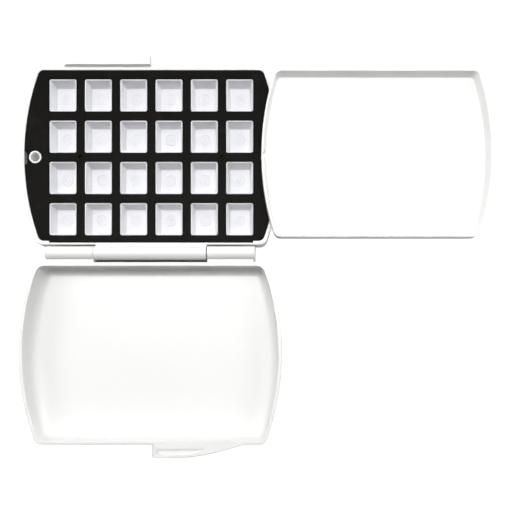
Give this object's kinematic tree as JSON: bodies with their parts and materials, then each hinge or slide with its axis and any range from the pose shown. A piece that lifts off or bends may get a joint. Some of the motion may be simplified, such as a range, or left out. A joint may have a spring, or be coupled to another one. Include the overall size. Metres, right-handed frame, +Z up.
{
  "type": "watercolor palette box",
  "caption": "White folding watercolour box lying open: black rack of square half pans in the base, deep hinged mixing lid and a swing-out mixing tray on a stud.",
  "frame": {"origin": "centre of the base shell's flat underside, with the box lying open", "axes": "+X to the right along the hinge, towards the swung-out tray; +Y away from the hinge, towards the base's thumb tab; +Z up, out of the pans"},
  "size_m": [0.2795, 0.2421, 0.0202],
  "materials": {
    "case_white": "semi-gloss moulded ABS, white",
    "tray_white": "semi-gloss moulded ABS, white",
    "pan_white": "satin moulded polystyrene, cool white",
    "rack_black": "satin moulded ABS, warm black",
    "pin_steel": "drawn steel wire"
  },
  "bodies": {
    "base": {"base_shell": "case_white", "pan_rack": "rack_black"},
    "lid": {"lid_shell": "case_white", "hinge_pin": "pin_steel"},
    "stud": {"tray_stud": "tray_white"},
    "tray": {"mixing_tray": "tray_white"},
    "pan_r1c1": {"half_pan_r1c1": "pan_white"},
    "pan_r1c2": {"half_pan_r1c2": "pan_white"},
    "pan_r1c3": {"half_pan_r1c3": "pan_white"},
    "pan_r1c4": {"half_pan_r1c4": "pan_white"},
    "pan_r1c5": {"half_pan_r1c5": "pan_white"},
    "pan_r1c6": {"half_pan_r1c6": "pan_white"},
    "pan_r2c1": {"half_pan_r2c1": "pan_white"},
    "pan_r2c2": {"half_pan_r2c2": "pan_white"},
    "pan_r2c3": {"half_pan_r2c3": "pan_white"},
    "pan_r2c4": {"half_pan_r2c4": "pan_white"},
    "pan_r2c5": {"half_pan_r2c5": "pan_white"},
    "pan_r2c6": {"half_pan_r2c6": "pan_white"},
    "pan_r3c1": {"half_pan_r3c1": "pan_white"},
    "pan_r3c2": {"half_pan_r3c2": "pan_white"},
    "pan_r3c3": {"half_pan_r3c3": "pan_white"},
    "pan_r3c4": {"half_pan_r3c4": "pan_white"},
    "pan_r3c5": {"half_pan_r3c5": "pan_white"},
    "pan_r3c6": {"half_pan_r3c6": "pan_white"},
    "pan_r4c1": {"half_pan_r4c1": "pan_white"},
    "pan_r4c2": {"half_pan_r4c2": "pan_white"},
    "pan_r4c3": {"half_pan_r4c3": "pan_white"},
    "pan_r4c4": {"half_pan_r4c4": "pan_white"},
    "pan_r4c5": {"half_pan_r4c5": "pan_white"},
    "pan_r4c6": {"half_pan_r4c6": "pan_white"}
  },
  "joints": [
    {"name": "lid_hinge", "type": "hinge", "parent": "base", "child": "lid", "pos_m": [0, -0.0587, 0.0145], "axis": [1, 0, 0], "range_deg": [-145, 0]},
    {"name": "tray_lift", "type": "slide", "parent": "base", "child": "stud", "axis": [0, 0, 1], "range_m": [0, 0.02]},
    {"name": "tray_swing", "type": "hinge", "parent": "stud", "child": "tray", "pos_m": [0.0693, -0.00095, 0.0133], "axis": [0, 0, -1], "range_deg": [-180, 0]},
    {"name": "pan_r1c1_lift", "type": "slide", "parent": "base", "child": "pan_r1c1", "axis": [0, 0, 1], "range_m": [0, 0.012]},
    {"name": "pan_r1c2_lift", "type": "slide", "parent": "base", "child": "pan_r1c2", "axis": [0, 0, 1], "range_m": [0, 0.012]},
    {"name": "pan_r1c3_lift", "type": "slide", "parent": "base", "child": "pan_r1c3", "axis": [0, 0, 1], "range_m": [0, 0.012]},
    {"name": "pan_r1c4_lift", "type": "slide", "parent": "base", "child": "pan_r1c4", "axis": [0, 0, 1], "range_m": [0, 0.012]},
    {"name": "pan_r1c5_lift", "type": "slide", "parent": "base", "child": "pan_r1c5", "axis": [0, 0, 1], "range_m": [0, 0.012]},
    {"name": "pan_r1c6_lift", "type": "slide", "parent": "base", "child": "pan_r1c6", "axis": [0, 0, 1], "range_m": [0, 0.012]},
    {"name": "pan_r2c1_lift", "type": "slide", "parent": "base", "child": "pan_r2c1", "axis": [0, 0, 1], "range_m": [0, 0.012]},
    {"name": "pan_r2c2_lift", "type": "slide", "parent": "base", "child": "pan_r2c2", "axis": [0, 0, 1], "range_m": [0, 0.012]},
    {"name": "pan_r2c3_lift", "type": "slide", "parent": "base", "child": "pan_r2c3", "axis": [0, 0, 1], "range_m": [0, 0.012]},
    {"name": "pan_r2c4_lift", "type": "slide", "parent": "base", "child": "pan_r2c4", "axis": [0, 0, 1], "range_m": [0, 0.012]},
    {"name": "pan_r2c5_lift", "type": "slide", "parent": "base", "child": "pan_r2c5", "axis": [0, 0, 1], "range_m": [0, 0.012]},
    {"name": "pan_r2c6_lift", "type": "slide", "parent": "base", "child": "pan_r2c6", "axis": [0, 0, 1], "range_m": [0, 0.012]},
    {"name": "pan_r3c1_lift", "type": "slide", "parent": "base", "child": "pan_r3c1", "axis": [0, 0, 1], "range_m": [0, 0.012]},
    {"name": "pan_r3c2_lift", "type": "slide", "parent": "base", "child": "pan_r3c2", "axis": [0, 0, 1], "range_m": [0, 0.012]},
    {"name": "pan_r3c3_lift", "type": "slide", "parent": "base", "child": "pan_r3c3", "axis": [0, 0, 1], "range_m": [0, 0.012]},
    {"name": "pan_r3c4_lift", "type": "slide", "parent": "base", "child": "pan_r3c4", "axis": [0, 0, 1], "range_m": [0, 0.012]},
    {"name": "pan_r3c5_lift", "type": "slide", "parent": "base", "child": "pan_r3c5", "axis": [0, 0, 1], "range_m": [0, 0.012]},
    {"name": "pan_r3c6_lift", "type": "slide", "parent": "base", "child": "pan_r3c6", "axis": [0, 0, 1], "range_m": [0, 0.012]},
    {"name": "pan_r4c1_lift", "type": "slide", "parent": "base", "child": "pan_r4c1", "axis": [0, 0, 1], "range_m": [0, 0.012]},
    {"name": "pan_r4c2_lift", "type": "slide", "parent": "base", "child": "pan_r4c2", "axis": [0, 0, 1], "range_m": [0, 0.012]},
    {"name": "pan_r4c3_lift", "type": "slide", "parent": "base", "child": "pan_r4c3", "axis": [0, 0, 1], "range_m": [0, 0.012]},
    {"name": "pan_r4c4_lift", "type": "slide", "parent": "base", "child": "pan_r4c4", "axis": [0, 0, 1], "range_m": [0, 0.012]},
    {"name": "pan_r4c5_lift", "type": "slide", "parent": "base", "child": "pan_r4c5", "axis": [0, 0, 1], "range_m": [0, 0.012]},
    {"name": "pan_r4c6_lift", "type": "slide", "parent": "base", "child": "pan_r4c6", "axis": [0, 0, 1], "range_m": [0, 0.012]}
  ]
}
